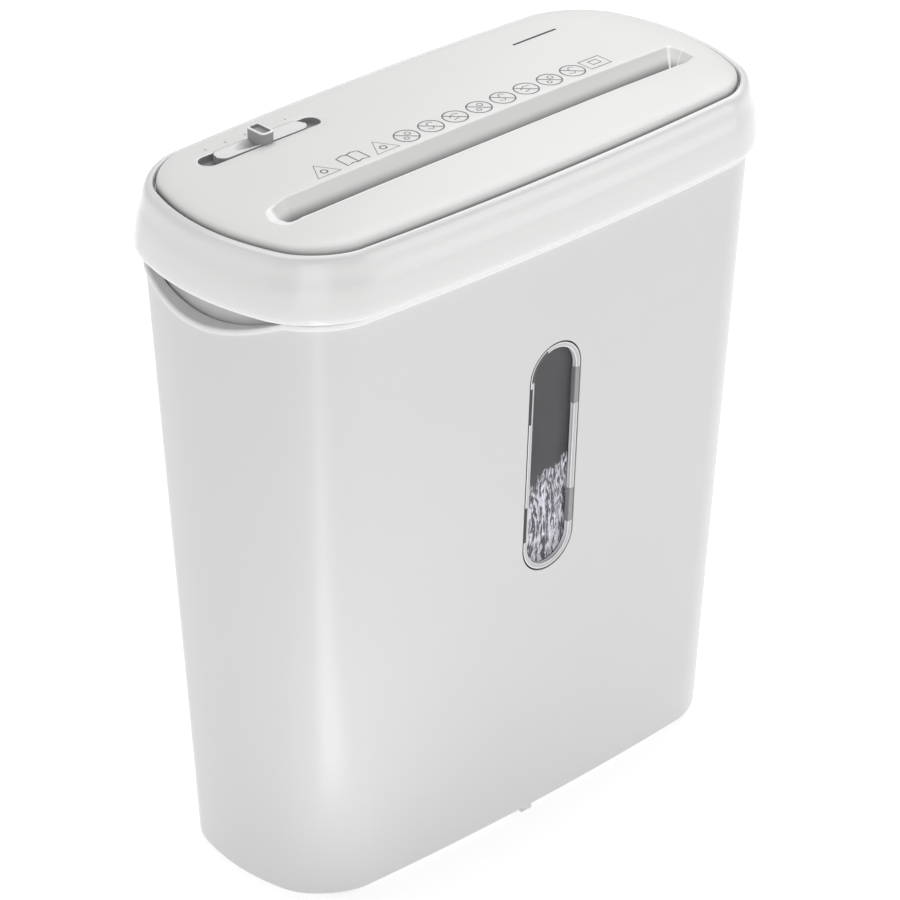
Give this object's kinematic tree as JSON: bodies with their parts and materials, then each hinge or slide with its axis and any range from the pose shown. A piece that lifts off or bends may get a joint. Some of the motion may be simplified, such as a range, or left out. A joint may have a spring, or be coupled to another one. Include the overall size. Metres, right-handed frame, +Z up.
{
  "type": "paper shredder",
  "caption": "Cross-cut paper shredder: lift-off cutter head with top throat and mode slider, on a tapered waste bin with a window slot in the front.",
  "frame": {"origin": "centre of the overall bounding box at floor level", "axes": "+X along the length, mode slider towards -X; -Y is the front with the window; +Z up"},
  "size_m": [0.2956, 0.142, 0.332],
  "materials": {
    "white_plastic": "fine satin white",
    "band_plastic": "semi-gloss white",
    "cover_plastic": "satin white",
    "grey_plastic": "matt dark grey",
    "clear_plastic": "clear pane",
    "rubber": "black rubber",
    "steel": "zinc plated",
    "tool_steel": "ground and oiled",
    "nylon": "natural nylon",
    "bronze": "sintered",
    "board": "green laminate",
    "black_plastic": "matt black"
  },
  "bodies": {
    "bin": {"waste_bin": "white_plastic", "bin_window": "clear_plastic", "rubber_foot_1": "rubber", "rubber_foot_2": "rubber", "rubber_foot_3": "rubber", "rubber_foot_4": "rubber"},
    "front_cutter": {"cutter_shaft_front": "tool_steel", "timing_gear_front": "steel"},
    "rear_cutter": {"cutter_shaft_rear": "tool_steel", "timing_gear_rear": "steel", "drive_gear": "steel"},
    "second_reduction": {"reduction_gear_2": "nylon"},
    "first_reduction": {"reduction_gear_1": "nylon"},
    "rotor": {"motor_rotor": "steel", "motor_pinion": "bronze"},
    "slider": {"mode_slider": "cover_plastic"},
    "paper_flag": {"sensor_lever": "black_plastic"},
    "head": {"board_screw_1": "steel", "board_screw_2": "steel", "bottom_tray": "white_plastic", "cable_gland": "black_plastic", "capacitor": "grey_plastic", "control_board": "board", "cover_screw_1": "steel", "cover_screw_2": "steel", "cover_screw_3": "steel", "cover_screw_4": "steel", "front_bush_left": "bronze", "front_bush_right": "bronze", "gear_pin_1": "steel", "gear_pin_2": "steel", "head_band": "band_plastic", "mode_switch_body": "black_plastic", "motor_can": "steel", "motor_end_cap": "black_plastic", "motor_screw_1": "steel", "motor_screw_2": "steel", "rear_bush_left": "bronze", "rear_bush_right": "bronze", "relay": "black_plastic", "retaining_ring_1": "steel", "retaining_ring_2": "steel", "sensor_bracket": "grey_plastic", "sensor_switch": "black_plastic", "side_plate_left": "steel", "side_plate_right": "steel", "stripper_comb_front": "black_plastic", "stripper_comb_rear": "black_plastic", "tie_rod_1": "steel", "tie_rod_2": "steel", "tie_rod_3": "steel", "top_cover": "cover_plastic"}
  },
  "joints": [
    {"name": "head_lift", "type": "slide", "parent": "bin", "child": "head", "axis": [0, 0, 1], "range_m": [0, 0.1]},
    {"name": "front_cutter_spin", "type": "hinge", "parent": "head", "child": "front_cutter", "pos_m": [0, -0.03375, 0.283], "axis": [1, 0, 0], "continuous": true},
    {"name": "rear_cutter_spin", "type": "hinge", "parent": "head", "child": "rear_cutter", "pos_m": [0, -0.01525, 0.283], "axis": [1, 0, 0], "continuous": true},
    {"name": "second_reduction_spin", "type": "hinge", "parent": "head", "child": "second_reduction", "pos_m": [0, 0.01252, 0.27556], "axis": [1, 0, 0], "continuous": true},
    {"name": "first_reduction_spin", "type": "hinge", "parent": "head", "child": "first_reduction", "pos_m": [0, 0.01537, 0.29989], "axis": [1, 0, 0], "continuous": true},
    {"name": "motor_spin", "type": "hinge", "parent": "head", "child": "rotor", "pos_m": [0, 0.03, 0.284], "axis": [1, 0, 0], "continuous": true},
    {"name": "mode_slide", "type": "slide", "parent": "head", "child": "slider", "axis": [1, 0, 0], "range_m": [-0.007, 0.007]},
    {"name": "paper_flag_swing", "type": "hinge", "parent": "head", "child": "paper_flag", "pos_m": [0, -0.001, 0.3065], "axis": [1, 0, 0], "range_deg": [0, 18], "stiffness_Nm_per_rad": 0.002, "springref_deg": -11.46}
  ],
  "couplings": [
    {"joint": "rear_cutter_spin", "follows": "front_cutter_spin", "ratio": -1},
    {"joint": "second_reduction_spin", "follows": "front_cutter_spin", "ratio": 2.8333},
    {"joint": "first_reduction_spin", "follows": "front_cutter_spin", "ratio": -9.7879},
    {"joint": "motor_spin", "follows": "front_cutter_spin", "ratio": 43.067}
  ]
}
